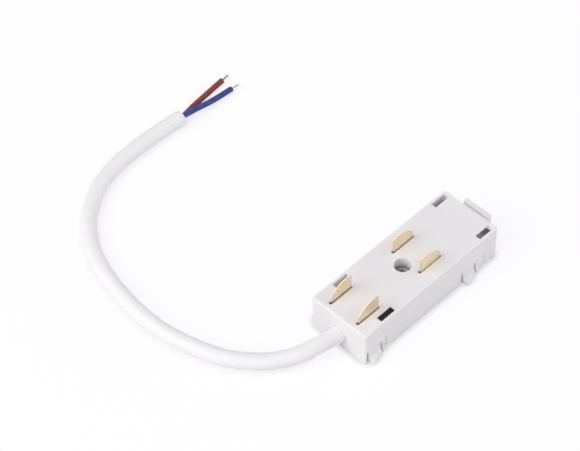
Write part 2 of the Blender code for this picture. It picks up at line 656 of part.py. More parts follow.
def build_strip(side_name, brass):
    """A strip on the cover that joins the two springs of one row, with holes over their posts."""
    y = SIDES[side_name] * SPRING_ROW
    half = STRIP_OVERHANG
    strip = prism(f"bus_strip_{side_name}", rounded_rectangle(
        blade_middle("front") - STRIP_OVERHANG, blade_middle("rear") + STRIP_OVERHANG, y - half, y + half,
        half * 0.5), STRIP_BOTTOM, STRIP_TOP, "Z", brass)
    for place in ("front", "rear"):
        x = blade_middle(place)
        cut(strip, cylinder(f"cut_strip_{place}_{side_name}", PIP_DIAMETER / 2 + GAP,
                            (x, y, STRIP_BOTTOM - OVERRUN), (x, y, STRIP_TOP + OVERRUN), 16))
    return strip


def build_inner_lead(colour_name, side_name, material):
    """A core from the sheath's inner end to its solder point on a strip."""
    side = SIDES[side_name]
    start = Vector((SHEATH_END + GAP, side * CORE_SPREAD / 2, CABLE_LEVEL))
    end = Vector((LEAD_SOLDER, side * SPRING_ROW, STRIP_TOP + GAP + CORE_DIAMETER / 2))
    points = [start + (end - start) * Vector(shares) for shares in LEAD_ROUTE]
    return tube(f"lead_{colour_name}_inner", smooth_route(points, CORE_DIAMETER / 2), CORE_DIAMETER,
                material)


def cable_points():
    """The whole route of the sheath, from its end inside the housing to its cut end."""
    resting = CABLE_RADIUS + TABLE_CLEARANCE
    inside = [(x, 0, CABLE_LEVEL) for x in (SHEATH_END, BACK + SHEATH_INSIDE / 2, BACK)]
    outside = [(BACK + x * MM, y * MM, resting + share * (CABLE_LEVEL - resting))
               for x, y, share in CABLE_ROUTE]
    return inside + outside


def build_cable(white, core_materials, copper):
    """The sheath, the two cores past its end and their bare conductors."""
    route = cable_points()
    tube("cable_sheath", smooth_route(route, CABLE_DIAMETER * 0.7), CABLE_DIAMETER, white, 4)
    end = Vector(route[-1])
    for colour_name, offsets in CORE_ROUTES.items():
        points = smooth_route(
            [(end.x + x * MM, end.y + y * MM, z * MM) for x, y, z in offsets], CORE_DIAMETER * 1.5)
        tube(f"core_{colour_name}", points, CORE_DIAMETER, core_materials[colour_name])
        way = (points[-1] - points[-2]).normalized()
        first = points[-1] + way * GAP
        tube(f"conductor_{colour_name}", [first, first + way * CONDUCTOR_LENGTH], CONDUCTOR_DIAMETER,
             copper)


def main():
    for thing in list(bpy.data.objects):
        bpy.data.objects.remove(thing)
    white = make_material("white_moulded_plastic", "#E9E9EA", 0.38)
    sheath_white = make_material("white_cable_sheath", "#ECECED", 0.45)
    brass = make_material("brass", "#D9C08A", 0.28, 1.0)
    steel = make_material("plated_steel", "#A9A9AB", 0.3, 1.0)
    black = make_material("black_magnet", "#2B2627", 0.5)
    copper = make_material("tinned_copper", "#C6C3BE", 0.3, 1.0)
    cores = {
        "brown": make_material("brown_core", "#8A3A32", 0.42),
        "blue": make_material("blue_core", "#3F4FA6", 0.42),
    }

    build_housing(white)
    build_cover(white)
    build_screw(steel)
    build_strain_relief(white)
    for side_name in SIDES:
        build_strip(side_name, brass)
        for place in ("front", "rear"):
            build_blade(place, side_name, brass)
            build_spring(place, side_name, steel)
            build_magnet(place, side_name, black)
    build_inner_lead("brown", "right", cores["brown"])
    build_inner_lead("blue", "left", cores["blue"])
    build_cable(sheath_white, cores, copper)


main()
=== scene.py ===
"""Looks of the magnetic track power feed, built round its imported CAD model.

The feed is a moulded housing that lies on its cover with the contact face up, with four sprung blades, four
magnets, a pan head screw deep in its hole and a white round cable that ends in two stripped cores. Lengths are
in metres.
"""

import math

import bpy
from mathutils import Matrix, Vector


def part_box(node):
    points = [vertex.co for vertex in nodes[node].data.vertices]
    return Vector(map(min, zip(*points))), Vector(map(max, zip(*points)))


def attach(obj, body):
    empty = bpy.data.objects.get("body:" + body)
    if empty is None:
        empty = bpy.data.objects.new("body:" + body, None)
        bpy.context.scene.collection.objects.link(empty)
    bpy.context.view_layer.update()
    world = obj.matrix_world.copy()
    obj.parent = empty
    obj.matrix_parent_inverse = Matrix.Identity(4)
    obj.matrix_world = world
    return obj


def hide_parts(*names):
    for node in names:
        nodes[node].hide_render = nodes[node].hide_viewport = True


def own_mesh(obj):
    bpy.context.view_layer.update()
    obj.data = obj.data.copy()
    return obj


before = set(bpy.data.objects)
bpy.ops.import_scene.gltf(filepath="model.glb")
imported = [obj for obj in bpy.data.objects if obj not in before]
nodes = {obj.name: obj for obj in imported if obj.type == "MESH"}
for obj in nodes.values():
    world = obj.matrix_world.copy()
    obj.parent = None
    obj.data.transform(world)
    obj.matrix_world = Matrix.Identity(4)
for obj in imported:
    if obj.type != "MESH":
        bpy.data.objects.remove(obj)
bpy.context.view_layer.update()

MM = 0.001
CONTACT_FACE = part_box("housing_shell")[1].z
SIDES = {"right": -1, "left": 1}
PLACES = ("front", "rear")
SHARP = math.radians(35)          # edges that turn by more than this are rounded
NEAR = 0.1 * MM                   # within this of a face, an edge belongs to it
STEPS_PER_TURN = 24               # points along a coil or a thread
ROUTE_STEPS = 20                  # fine points between two given ones of a route

# Camera, fitted to the photograph
IMAGE_WIDTH = 580
FOCAL_PIXELS = 2419.18
SENSOR_MM = 36.0
CAMERA_TARGET = Vector((-8.387, 43.005, 0.0)) * MM
CAMERA_DISTANCE = 755.73 * MM
CAMERA_AZIMUTH = math.radians(225.288)
CAMERA_ELEVATION = math.radians(50.173)
CAMERA_ROLL = math.radians(-1.001)

# Supply cable: the route's points are part.py's, X and Y from the hole and the share of its height there
CABLE_DIAMETER = 5.3 * MM
CABLE_LEVEL = 5.4 * MM            # of its middle at the hole
TABLE_CLEARANCE = 0.05 * MM       # under the resting cable
SHEATH_INSIDE = 17.5 * MM         # from the hole to the sheath's end inside the housing
SHEATH_STEP = 0.9 * MM            # between the points along the sheath
CUT_NARROWING = 0.14              # share of the radius by which the cut end is drawn in
CUT_REACH = 1.3 * MM
HOLE_SWELL = 0.075                # share of the radius by which the sheath swells at its hole
HOLE_REACH = 1.4 * MM
CABLE_ROUTE = [
    (-3.0, 0.4, 0.95), (-6.1, 1.3, 0.83), (-10.9, 2.8, 0.58), (-15.1, 4.9, 0.32), (-19.0, 7.8, 0.11),
    (-22.7, 11.3, 0.02), (-28.3, 18.9, 0.0), (-31.9, 28.1, 0.0), (-34.2, 37.9, 0.0), (-34.8, 48.7, 0.0),
    (-33.6, 59.6, 0.0), (-30.9, 70.8, 0.0), (-26.8, 80.0, 0.0), (-21.4, 87.2, 0.0), (-15.3, 92.3, 0.0),
    (-9.6, 95.6, 0.0), (-3.8, 97.7, 0.0), (2.7, 98.9, 0.0), (10.6, 99.3, 0.0), (19.7, 99.2, 0.0),
    (29.6, 98.5, 0.0),
]
CORE_DIAMETER = 1.9 * MM
CORE_ROUTES = {
    "blue": [(0.3, -0.5, 3.6), (5.6, -0.7, 2.75), (12.6, -1.0, 1.45), (21.0, -1.5, 1.05)],
    "brown": [(0.3, 0.5, 1.65), (5.9, 1.7, 1.25), (13.1, 2.6, 1.05), (21.5, 3.4, 1.05)],
}
CORE_INSIDE = 2.0 * MM            # from a core's first point back into the sheath
CORE_STEP = 0.6 * MM
STRANDS = 7                       # one in the middle and six round it
STRAND_DIAMETERS = {"blue": 0.13 * MM, "brown": 0.19 * MM}
STRAND_LENGTH = 3.1 * MM
STRAND_INSIDE = 0.8 * MM          # further length inside the core
STRAND_LAY = 3.4 * MM             # one twist of the strands
STRAND_UNEVENNESS = 0.12 * MM     # steps between the lengths of the strands
STRAND_STEPS = 24

# Housing, cover and clip
MOULD_ROUNDING = 0.1 * MM
CLIP_ROUNDING = 0.12 * MM
EJECTOR_INSET = 9 * MM            # of the ejector pins' marks from the ends of the cover
EJECTOR_OFFSET = 3.2 * MM         # of the marks from the middle line
EJECTOR_RADIUS = 1.1 * MM
EJECTOR_DEPTH = 0.08 * MM
CUTTER_OVERLAP = 0.5 * MM         # of the tool that cuts a mark, outside the cover

# Contacts
STRIP_GAUGE = 0.6 * MM            # thickness of the blades' metal
FOLD_RADIUS = 0.3 * MM            # inside the fold of a blade's foot
BLADE_CORNER_RADIUS = 0.8 * MM
BLADE_BACK_PROFILE = 0.5612       # bevel profile of a superellipse of power 2.4
BLADE_ROUNDING = 0.15 * MM
STRIP_ROUNDING = 0.06 * MM
FOOT_LENGTH = 5.6 * MM
FOOT_WIDTH = 3.0 * MM
FOOT_CORNER_RADIUS = 0.6 * MM
RELIEF_WIDTH = 0.3 * MM
PIP_DIAMETER = 1.4 * MM
PIP_HEIGHT = 0.9 * MM
PIP_ROUNDING = 0.25 * MM
SLOT_REACH = 0.6 * MM             # from a blade past the walls of its slot
SLOT_RIM = 0.12 * MM              # clean rim over the painted shade on the walls of a slot
SLOT_DEPTH = 2.0 * MM             # of the painted shade on the walls of a slot
PAINTED_SHADE_START = -16 * MM              # X up to which the blades' painted shade is strongest, and X where it is weakest
PAINTED_SHADE_END = -8 * MM
PAINTED_SHADE_HEIGHT = 0.3 * MM             # to which the painted shade fades over the contact face
SPRING_WIRE = 0.3 * MM
WIRE_SMOOTHING = math.radians(50)  # more than the 36 degrees between the wire's ten sides
SPRING_TURNS = 7
CLOSED_TURNS = 0.75               # of each end of a spring, laid close
CLOSED_RISE = 0.8 * SPRING_WIRE   # of a closed end
SPRING_TIP = 0.4                  # share of the gauge that is left at a tip
TIP_GROWTH = 1.2                  # share of the gauge that a turn away from the tip adds

# Magnets
COAT_INSET = 0.45 * MM
COAT_SWELL = 0.03 * MM
MAGNET_ROUNDING = 0.18 * MM
PAINTED_LIGHT_REACH = 2.0 * MM             # of the painted light from the cable end of the rear right magnet
PAINTED_LIGHT_WANDER = 1.2 * MM            # of the painted light's ragged edge
PAINTED_LIGHT_FADE = 0.9 * MM              # width of that edge

# Screw
HEAD_HEIGHT = 1.8 * MM
HEAD_ROUNDING = 1.05 * MM
SCREW_ROUNDING = 0.05 * MM
SHANK_DIAMETER = 2.6 * MM
TIP_LENGTH = 1.1 * MM
TIP_WIDTH = 0.4                   # share of the shank at the tip
RECESS_DEPTH = 1.1 * MM
RECESS_LENGTH = 2.7 * MM
RECESS_WIDTH = 0.75 * MM
RECESS_FLOOR = (0.45, 0.75)       # shares of its length and width at its floor
RECESS_OVERLAP = 0.3 * MM         # of the tool that cuts it, above the head
RECESS_TURN = 20                  # degrees about the screw's axis
THREAD_PITCH = 0.9 * MM
THREAD_HEIGHT = 0.22 * MM
THREAD_CLEARANCE = 1.2 * MM       # plain shank under the head
THREAD_TIP = 0.1                  # share of the thread's height at its ends

# Studio
SKY_LIGHT = 0.49                  # of the world on the object; the camera and reflections see plain white
LAMP_AIM = Vector((-12, 35, 5)) * MM
LAMP_DISTANCE = 1.3
LAMP_SIZE = 1.3
LAMPS = {                         # azimuth and elevation in degrees, power in watts
    "key_softbox": (165, 41, 11.5),
    "fill_softbox": (325, 20, 5.8),
    "front_softbox": (240, 20, 1.7),
}
SHADOW_REACH = 2.2 * MM           # of the floor's contact shadow
HOUSING_REACH = 33 * MM           # from the origin to past the housing's corners
CABLE_BEYOND = 42 * MM            # from the origin, where only the cable is near
FLOOR_GLOW = 0.835                # of the open floor
HOUSING_SHADE = 0.56              # glow of the floor right at the housing
CABLE_SHADE = 0.775               # and under the edge of the cable


# Shapes

def select_only(*things):
    bpy.ops.object.select_all(action="DESELECT")
    for thing in things:
        thing.select_set(True)
    bpy.context.view_layer.objects.active = things[0]


def leave_edit():
    if bpy.context.object and bpy.context.object.mode != "OBJECT":
        bpy.ops.object.mode_set(mode="OBJECT")


def pick(piece, kind, test):
    """Selects the faces or edges whose middle and direction pass a test, and stays in edit mode."""
    leave_edit()
    mesh = piece.data
    for group in (mesh.vertices, mesh.edges, mesh.polygons):
        group.foreach_set("select", [False] * len(group))
    if kind == "FACE":
        for face in mesh.polygons:
            face.select = test(face.center, face.normal)
    else:
        for edge in mesh.edges:
            a, b = (mesh.vertices[i].co for i in edge.vertices)
            edge.select = test((a + b) / 2, (b - a).normalized())
    bpy.context.tool_settings.mesh_select_mode = (False, kind == "EDGE", kind == "FACE")
    bpy.ops.object.mode_set(mode="EDIT")


def started(name):
    """Names the primitive that was just added, and puts its place into its mesh."""
    piece = bpy.context.object
    piece.name = piece.data.name = name
    bpy.ops.object.transform_apply(location=True, rotation=True, scale=True)
    return piece


def block(name, low, high):
    """A box between two corners, to be shaped further."""
    bpy.ops.object.select_all(action="DESELECT")
    low, high = Vector(low), Vector(high)
    bpy.ops.mesh.primitive_cube_add(size=1, location=(low + high) / 2, scale=high - low)
    return started(name)


def disc(name, middle, radius, height, vertices):
    """An upright cylinder that stands on this middle, to be shaped further."""
    bpy.ops.object.select_all(action="DESELECT")
    bpy.ops.mesh.primitive_cylinder_add(vertices=vertices, radius=radius, depth=height,
                                        location=Vector(middle) + Vector((0, 0, height / 2)))
    return started(name)


def apply_modifier(piece, kind, **settings):
    select_only(piece)
    modifier = piece.modifiers.new(kind.lower(), kind)
    for key, value in settings.items():
        setattr(modifier, key, value)
    bpy.ops.object.modifier_apply(modifier=modifier.name)


def combine(piece, other, operation):
    """Joins or cuts with another shape, which is then gone."""
    apply_modifier(piece, "BOOLEAN", operation=operation, solver="EXACT", object=other)
    bpy.data.objects.remove(other)


def finish_surface(piece):
    """Smooth shading on round faces, with flat faces kept flat by their size."""
    select_only(piece)
    bpy.ops.object.shade_smooth_by_angle(angle=SHARP)
    apply_modifier(piece, "WEIGHTED_NORMAL", keep_sharp=True)


def round_edges(piece, width, shortest=0.22 * MM):
    """Rounds the sharp edges, apart from those that meet an edge too short to take it."""
    select_only(piece)
    leave_edit()
    bpy.context.tool_settings.mesh_select_mode = (False, True, False)
    bpy.ops.object.mode_set(mode="EDIT")
    bpy.ops.mesh.select_all(action="DESELECT")
    bpy.ops.mesh.edges_select_sharp(sharpness=SHARP)
    bpy.ops.object.mode_set(mode="OBJECT")
    mesh = piece.data
    crowded = set()
    for edge in mesh.edges:
        a, b = edge.vertices
        if (mesh.vertices[a].co - mesh.vertices[b].co).length < shortest:
            crowded.update((a, b))
    chosen = [edge.index for edge in mesh.edges if edge.select and not crowded & set(edge.vertices)]
    for group in (mesh.vertices, mesh.edges, mesh.polygons):
        group.foreach_set("select", [False] * len(group))
    for index in chosen:
        mesh.edges[index].select = True
    bpy.ops.object.mode_set(mode="EDIT")
    bpy.ops.transform.edge_bevelweight(value=1.0)
    bpy.ops.object.mode_set(mode="OBJECT")
    apply_modifier(piece, "BEVEL", limit_method="WEIGHT", width=width, segments=3, use_clamp_overlap=False)
    finish_surface(piece)


def cad_copy(node, name):
    """A copy of a CAD node's mesh with its loose triangles merged and its flat faces made whole."""
    mesh = nodes[node].data.copy()
    mesh.name = name
    mesh.materials.clear()
    piece = bpy.data.objects.new(name, mesh)
    bpy.context.scene.collection.objects.link(piece)
    select_only(piece)
    bpy.ops.object.mode_set(mode="EDIT")
    bpy.ops.mesh.select_all(action="SELECT")
    bpy.ops.mesh.remove_doubles(threshold=0.002 * MM)
    bpy.ops.mesh.customdata_custom_splitnormals_clear()
    bpy.ops.mesh.dissolve_limited(angle_limit=math.radians(0.5))
    bpy.ops.object.mode_set(mode="OBJECT")
    return piece


def placed_copy(piece, name, place, flip_x=False, flip_y=False):
    """A copy with its own mesh, mirrored if asked and moved, with its faces turned outwards and its shading
    made anew, because a mirrored mesh keeps the shading of the first."""
    twin = piece.copy()
    twin.data = piece.data.copy()
    twin.name = twin.data.name = name
    bpy.context.scene.collection.objects.link(twin)
    mirror = Matrix.Diagonal((-1 if flip_x else 1, -1 if flip_y else 1, 1, 1))
    twin.data.transform(Matrix.Translation(place) @ mirror)
    if flip_x != flip_y:
        twin.data.flip_normals()
    select_only(twin)
    bpy.ops.mesh.customdata_custom_splitnormals_clear()
    finish_surface(twin)
    return twin


def smooth_route(points, spacing):
    """Evenly spaced points along a centripetal Catmull-Rom curve through the given ones."""
    points = [Vector(p) for p in points]
    ends = [2 * points[0] - points[1]] + points + [2 * points[-1] - points[-2]]
    fine = []
    for a, b, c, d in zip(ends, ends[1:], ends[2:], ends[3:]):
        t1 = (b - a).length ** 0.5
        t2 = t1 + (c - b).length ** 0.5
        t3 = t2 + (d - c).length ** 0.5
        for step in range(ROUTE_STEPS):
            t = t1 + (t2 - t1) * step / ROUTE_STEPS
            ab = a + (b - a) * (t / t1)
            bc = b + (c - b) * ((t - t1) / (t2 - t1))
            cd = c + (d - c) * ((t - t2) / (t3 - t2))
            abc = ab + (bc - ab) * (t / t2)
            bcd = bc + (cd - bc) * ((t - t1) / (t3 - t1))
            fine.append(abc + (bcd - abc) * ((t - t1) / (t2 - t1)))
    fine.append(points[-1])
    lengths = [0.0]
    for a, b in zip(fine, fine[1:]):
        lengths.append(lengths[-1] + (b - a).length)
    count = max(2, round(lengths[-1] / spacing))
    route = []
    index = 0
    for step in range(count + 1):
        along = lengths[-1] * step / count
        while index < len(fine) - 2 and lengths[index + 1] < along:
            index += 1
        part = (along - lengths[index]) / (lengths[index + 1] - lengths[index])
        route.append(fine[index].lerp(fine[index + 1], min(max(part, 0), 1)))
    return route


def tube(name, points, diameter, radii, resolution):
    """A round tube along points, closed at both ends. Radii holds the share of its radius at each point, or is
    None for an even tube."""
    curve = bpy.data.curves.new(name, "CURVE")
    curve.dimensions = "3D"
    curve.bevel_depth = diameter / 2
    curve.bevel_resolution = resolution
    curve.use_fill_caps = True
    spline = curve.splines.new("POLY")
    spline.points.add(len(points) - 1)
    for number, point in enumerate(points):
        spline.points[number].co = (*point, 1.0)
        spline.points[number].radius = radii[number] if radii else 1.0
    spline.use_smooth = True
    piece = bpy.data.objects.new(name, curve)
    bpy.context.scene.collection.objects.link(piece)
    return piece


def as_mesh(piece):
    select_only(piece)
    bpy.ops.object.convert(target="MESH")
    return bpy.context.object


# Materials

def srgb(hex_colour):
    """A linear colour from a #RRGGBB string."""
    values = [int(hex_colour[i:i + 2], 16) / 255 for i in (1, 3, 5)]
    return [v / 12.92 if v <= 0.04045 else ((v + 0.055) / 1.055) ** 2.4 for v in values] + [1.0]


def add(tree, kind, inputs=None, **settings):
    """One shader node with its settings, and with a value or a link for each named or numbered input."""
    item = tree.nodes.new(kind)
    for key, value in settings.items():
        setattr(item, key, value)
    for key, value in (inputs or {}).items():
        if isinstance(value, bpy.types.NodeSocket):
            tree.links.new(value, item.inputs[key])
        else:
            item.inputs[key].default_value = value
    return item


def new_material(name):
    """A material with its node tree, its shader and its object coordinates."""
    material = bpy.data.materials.new(name)
    material.use_nodes = True
    tree = material.node_tree
    shader = tree.nodes["Principled BSDF"]
    place = add(tree, "ShaderNodeTexCoord").outputs["Object"]
    return material, tree, shader, place


def per_metre(size_mm):
    """Texture scale at which one feature has this size."""
    return 1 / (size_mm * MM)


def moulded_polycarbonate():
    """White flame-retardant polycarbonate from a spark-eroded mould: a dense matt white with a fine even
    grain, a slight glow where a wall is thin, and hardly visible flow clouds."""
    material, tree, shader, place = new_material("spark_eroded_white_polycarbonate")
    clouds = add(tree, "ShaderNodeTexNoise", {"Vector": place, "Scale": per_metre(14), "Detail": 2.0})
    tint = add(tree, "ShaderNodeMix", {0: clouds.outputs["Fac"], 6: srgb("#E8E6E8"), 7: srgb("#EEECEE")},
               data_type="RGBA")
    # Painted shade darkens the walls of the blades' slots
    slot = add(tree, "ShaderNodeAttribute", attribute_name="slot_painted_shade").outputs["Fac"]
    tint = add(tree, "ShaderNodeMix", {0: slot, 6: tint.outputs[2], 7: srgb("#5B564C")}, data_type="RGBA")
    tree.links.new(tint.outputs[2], shader.inputs["Base Color"])
    # The real grain is about 0.06 mm, too fine for the picture, so it is drawn at 0.25 mm
    grain = add(tree, "ShaderNodeTexNoise", {"Vector": place, "Scale": per_metre(0.25), "Detail": 3.0,
                                             "Roughness": 0.6})
    gloss = add(tree, "ShaderNodeMapRange", {"Value": grain.outputs["Fac"], "From Min": 0.3, "From Max": 0.7,
                                             "To Min": 0.40, "To Max": 0.52})
    tree.links.new(gloss.outputs["Result"], shader.inputs["Roughness"])
    bump = add(tree, "ShaderNodeBump", {"Strength": 0.25, "Distance": 0.012 * MM,
                                        "Height": grain.outputs["Fac"]})
    tree.links.new(bump.outputs["Normal"], shader.inputs["Normal"])
    shader.inputs["IOR"].default_value = 1.58
    shader.inputs["Specular IOR Level"].default_value = 0.35
    shader.inputs["Subsurface Weight"].default_value = 0.5
    shader.inputs["Subsurface Radius"].default_value = (1.0, 0.95, 0.92)
    shader.inputs["Subsurface Scale"].default_value = 1.3 * MM
    return material


def extruded_pvc_sheath():
    """White plasticised PVC drawn through a die: waxy and softer than the housing, with faint long draw
    lines, slow unevenness from the cores inside and a few rubbed places."""
    material, tree, shader, place = new_material("extruded_white_pvc")
    wear_and_painted_shade = add(tree, "ShaderNodeTexNoise", {"Vector": place, "Scale": per_metre(9), "Detail": 4.0,
                                              "Roughness": 0.65})
    tint = add(tree, "ShaderNodeMix", {0: wear_and_painted_shade.outputs["Fac"], 6: srgb("#ECEBEE"), 7: srgb("#F4F2F5")},
               data_type="RGBA")
    tree.links.new(tint.outputs[2], shader.inputs["Base Color"])
    gloss = add(tree, "ShaderNodeMapRange", {"Value": wear_and_painted_shade.outputs["Fac"], "From Min": 0.3, "From Max": 0.7,
                                             "To Min": 0.38, "To Max": 0.55})
    tree.links.new(gloss.outputs["Result"], shader.inputs["Roughness"])
    swell = add(tree, "ShaderNodeTexNoise", {"Vector": place, "Scale": per_metre(3.5), "Detail": 1.0})
    skin = add(tree, "ShaderNodeTexNoise", {"Vector": place, "Scale": per_metre(0.35), "Detail": 2.0})
    low = add(tree, "ShaderNodeBump", {"Strength": 0.3, "Distance": 0.06 * MM, "Height": swell.outputs["Fac"]})
    bump = add(tree, "ShaderNodeBump", {"Strength": 0.2, "Distance": 0.01 * MM, "Height": skin.outputs["Fac"],
                                        "Normal": low.outputs["Normal"]})
    tree.links.new(bump.outputs["Normal"], shader.inputs["Normal"])
    shader.inputs["IOR"].default_value = 1.53
    shader.inputs["Specular IOR Level"].default_value = 0.4
    shader.inputs["Subsurface Weight"].default_value = 0.2
    shader.inputs["Subsurface Radius"].default_value = (1.0, 0.97, 0.94)
    shader.inputs["Subsurface Scale"].default_value = 0.8 * MM
    return material


def stamped_brass():
    """Cold-rolled brass strip, stamped and folded: pale gold with fine rolling lines along the blade and slow
    rosy patches of first tarnish. Its sheared sides are paler and rougher. Painted shade darkens the corners
    along them, and the blades up to where they leave their slots."""
    material, tree, shader, place = new_material("rolled_and_stamped_brass")
    patches = add(tree, "ShaderNodeTexNoise", {"Vector": place, "Scale": per_metre(4), "Detail": 2.0})
    spread = add(tree, "ShaderNodeMapRange", {"Value": patches.outputs["Fac"], "From Min": 0.35,
                                              "From Max": 0.65})
    tint = add(tree, "ShaderNodeMix", {0: spread.outputs["Result"], 6: srgb("#F3E5BE"), 7: srgb("#F7E7CF")},
               data_type="RGBA")
    # Rolling lines are about 0.02 mm apart in the metal, and are drawn 0.12 mm apart
    stretched = add(tree, "ShaderNodeMapping", {"Vector": place, "Scale": (0.04, 1.0, 1.0)})
    lines = add(tree, "ShaderNodeTexNoise", {"Vector": stretched.outputs["Vector"], "Scale": per_metre(0.12),
                                             "Detail": 2.0})
    streaks = add(tree, "ShaderNodeMix", {0: lines.outputs["Fac"], 6: srgb("#F2F2F2"), 7: srgb("#FFFFFF")},
                  data_type="RGBA")
    rolled = add(tree, "ShaderNodeMix", {0: 1.0, 6: tint.outputs[2], 7: streaks.outputs[2]},
                 data_type="RGBA", blend_type="MULTIPLY")
    sheared = add(tree, "ShaderNodeAttribute", attribute_name="sheared").outputs["Fac"]
    painted_edge_shade = add(tree, "ShaderNodeAttribute", attribute_name="painted_edge_shade").outputs["Fac"]
    colour = add(tree, "ShaderNodeMix", {0: sheared, 6: rolled.outputs[2], 7: srgb("#E8DDC6")},
                 data_type="RGBA")
    # Painted shade: a dark line on the rounded corners along the sheared sides
    colour = add(tree, "ShaderNodeMix", {0: painted_edge_shade, 6: colour.outputs[2], 7: srgb("#3F3018")},
                 data_type="RGBA")
    # Painted shade, dark up to where the blades leave their slots, stronger on the pair at the cable
    axes = add(tree, "ShaderNodeSeparateXYZ", {"Vector": place})
    cable_side = add(tree, "ShaderNodeMapRange", {"Value": axes.outputs["X"], "From Min": PAINTED_SHADE_START,
                                                  "From Max": PAINTED_SHADE_END, "To Min": 0.8, "To Max": 0.2})
    wear_and_painted_shade = add(tree, "ShaderNodeMapRange", {"Value": axes.outputs["Z"], "From Min": CONTACT_FACE - 0.05 * MM,
                                              "From Max": CONTACT_FACE + PAINTED_SHADE_HEIGHT,
                                              "To Min": cable_side.outputs["Result"], "To Max": 0.0})
    colour = add(tree, "ShaderNodeMix", {0: wear_and_painted_shade.outputs["Result"], 6: colour.outputs[2],
                                         7: srgb("#4A3B24")}, data_type="RGBA")
    tree.links.new(colour.outputs[2], shader.inputs["Base Color"])
    gloss = add(tree, "ShaderNodeMapRange", {"Value": lines.outputs["Fac"], "From Min": 0.3, "From Max": 0.7,
                                             "To Min": 0.45, "To Max": 0.58})
    gloss = add(tree, "ShaderNodeMix", {0: sheared, 2: gloss.outputs["Result"], 3: 0.75}, data_type="FLOAT")
    tree.links.new(gloss.outputs[0], shader.inputs["Roughness"])
    bump = add(tree, "ShaderNodeBump", {"Strength": 0.15, "Distance": 0.004 * MM,
                                        "Height": lines.outputs["Fac"]})
    tree.links.new(bump.outputs["Normal"], shader.inputs["Normal"])
    shader.inputs["Metallic"].default_value = 1.0
    return material


def plain_metal(name, dark, pale, grain_mm, roughness, depth_mm):
    """A metal whose surface is a fine patchwork of two tones, such as zinc crystals or drawn wire."""
    material, tree, shader, place = new_material(name)
    grain = add(tree, "ShaderNodeTexNoise", {"Vector": place, "Scale": per_metre(grain_mm), "Detail": 3.0,
                                             "Roughness": 0.7})
    spread = add(tree, "ShaderNodeMapRange", {"Value": grain.outputs["Fac"], "From Min": 0.35,
                                              "From Max": 0.65})
    tint = add(tree, "ShaderNodeMix", {0: spread.outputs["Result"], 6: srgb(dark), 7: srgb(pale)},
               data_type="RGBA")
    tree.links.new(tint.outputs[2], shader.inputs["Base Color"])
    gloss = add(tree, "ShaderNodeMapRange", {"Value": grain.outputs["Fac"], "From Min": 0.3, "From Max": 0.7,
                                             "To Min": roughness - 0.08, "To Max": roughness + 0.08})
    tree.links.new(gloss.outputs["Result"], shader.inputs["Roughness"])
    bump = add(tree, "ShaderNodeBump", {"Strength": 0.3, "Distance": depth_mm * MM,
                                        "Height": grain.outputs["Fac"]})
    tree.links.new(bump.outputs["Normal"], shader.inputs["Normal"])
    shader.inputs["Metallic"].default_value = 1.0
    return material


def coated_magnet(name, dark, pale, painted_light_reach=None):
    """Pressed and sintered block in a thin brown-black epoxy coat: satin, faintly orange-peeled, with a
    paler bloom of dust, and painted light that turns its cable end grey as far as painted_light_reach."""
    material, tree, shader, place = new_material(name)
    bloom = add(tree, "ShaderNodeTexNoise", {"Vector": place, "Scale": per_metre(1.8), "Detail": 4.0,
                                             "Roughness": 0.6})
    spread = add(tree, "ShaderNodeMapRange", {"Value": bloom.outputs["Fac"], "From Min": 0.35,
                                              "From Max": 0.7})
    tint = add(tree, "ShaderNodeMix", {0: spread.outputs["Result"], 6: srgb(dark), 7: srgb(pale)},
               data_type="RGBA")
    # Painted light turns the cable end grey
    if painted_light_reach is not None:
        along = add(tree, "ShaderNodeSeparateXYZ", {"Vector": place}).outputs["X"]
        ragged = add(tree, "ShaderNodeMath", {0: bloom.outputs["Fac"], 1: PAINTED_LIGHT_WANDER, 2: along},
                     operation="MULTIPLY_ADD")
        painted_light_mask = add(tree, "ShaderNodeMapRange", {"Value": ragged.outputs[0], "From Min": painted_light_reach,
                                                "From Max": painted_light_reach + PAINTED_LIGHT_FADE})
        tint = add(tree, "ShaderNodeMix", {0: painted_light_mask.outputs["Result"], 6: srgb("#787675"), 7: tint.outputs[2]},
                   data_type="RGBA")
    tree.links.new(tint.outputs[2], shader.inputs["Base Color"])
    peel = add(tree, "ShaderNodeTexNoise", {"Vector": place, "Scale": per_metre(0.4), "Detail": 2.0})
    bump = add(tree, "ShaderNodeBump", {"Strength": 0.3, "Distance": 0.01 * MM, "Height": peel.outputs["Fac"]})
    tree.links.new(bump.outputs["Normal"], shader.inputs["Normal"])
    gloss = add(tree, "ShaderNodeMapRange", {"Value": bloom.outputs["Fac"], "From Min": 0.3, "From Max": 0.7,
                                             "To Min": 0.42, "To Max": 0.6})
    tree.links.new(gloss.outputs["Result"], shader.inputs["Roughness"])
    shader.inputs["Specular IOR Level"].default_value = 0.15
    return material


def core_insulation(name, dark, pale):
    """Coloured PVC insulation: satin, with slow tone changes along it and a fine extruded skin."""
    material, tree, shader, place = new_material(name)
    shader.inputs["Specular IOR Level"].default_value = 0.25
    slow = add(tree, "ShaderNodeTexNoise", {"Vector": place, "Scale": per_metre(2.5), "Detail": 2.0})
    spread = add(tree, "ShaderNodeMapRange", {"Value": slow.outputs["Fac"], "From Min": 0.35,
                                              "From Max": 0.65})
    tint = add(tree, "ShaderNodeMix", {0: spread.outputs["Result"], 6: srgb(dark), 7: srgb(pale)},
               data_type="RGBA")
    tree.links.new(tint.outputs[2], shader.inputs["Base Color"])
    skin = add(tree, "ShaderNodeTexNoise", {"Vector": place, "Scale": per_metre(0.3), "Detail": 2.0})
    bump = add(tree, "ShaderNodeBump", {"Strength": 0.25, "Distance": 0.01 * MM, "Height": skin.outputs["Fac"]})
    tree.links.new(bump.outputs["Normal"], shader.inputs["Normal"])
    gloss = add(tree, "ShaderNodeMapRange", {"Value": skin.outputs["Fac"], "From Min": 0.3, "From Max": 0.7,
                                             "To Min": 0.36, "To Max": 0.5})
    tree.links.new(gloss.outputs["Result"], shader.inputs["Roughness"])
    return material


